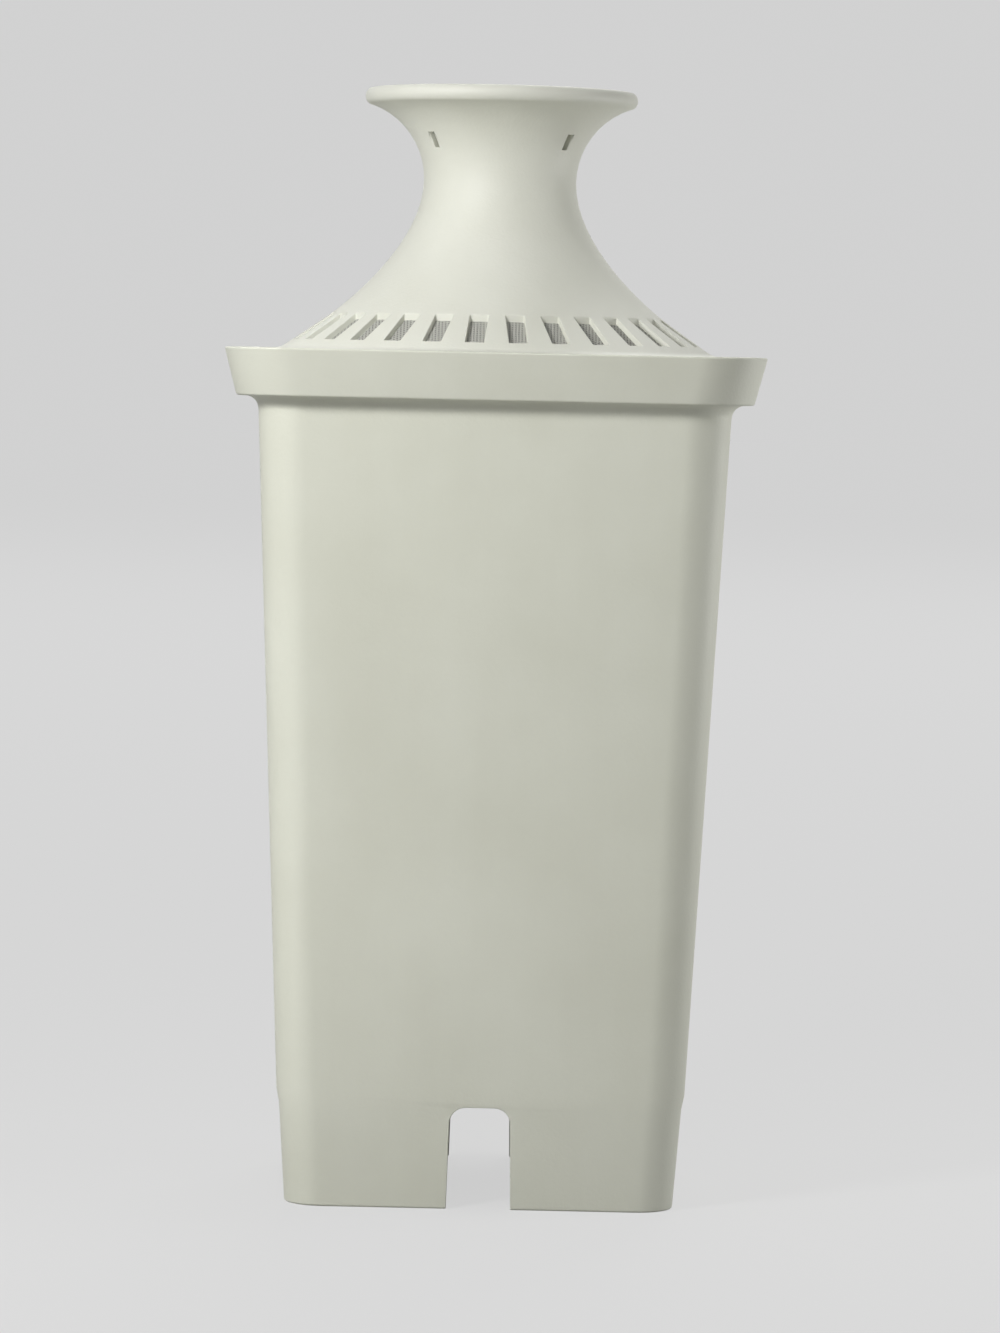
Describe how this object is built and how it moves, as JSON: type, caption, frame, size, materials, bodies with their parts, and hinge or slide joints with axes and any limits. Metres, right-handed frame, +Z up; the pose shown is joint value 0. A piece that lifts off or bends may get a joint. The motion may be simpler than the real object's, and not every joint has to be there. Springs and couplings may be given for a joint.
{
  "type": "water pitcher filter cartridge",
  "caption": "Tapered off-white filter cartridge with a flared sealing collar, a slotted cone cap with a round pull rim, and a notched hollow skirt.",
  "frame": {"origin": "centre of the foot of the skirt, on the surface that the cartridge stands on", "axes": "+Z up along the cartridge to its pull rim, -Y out of the front face, +X across the wider side"},
  "size_m": [0.0608, 0.0562, 0.1271],
  "materials": {
    "housing_plastic": "matte moulded polypropylene, warm off-white",
    "cap_plastic": "matte moulded polypropylene, warm off-white",
    "screen_fabric": "fine woven screen, white",
    "media_granules": "bed of dark granules with pale beads"
  },
  "bodies": {
    "root": {"housing": "housing_plastic", "cap": "cap_plastic", "upper_screen": "screen_fabric", "lower_screen": "screen_fabric", "filter_media": "media_granules"}
  },
  "joints": []
}
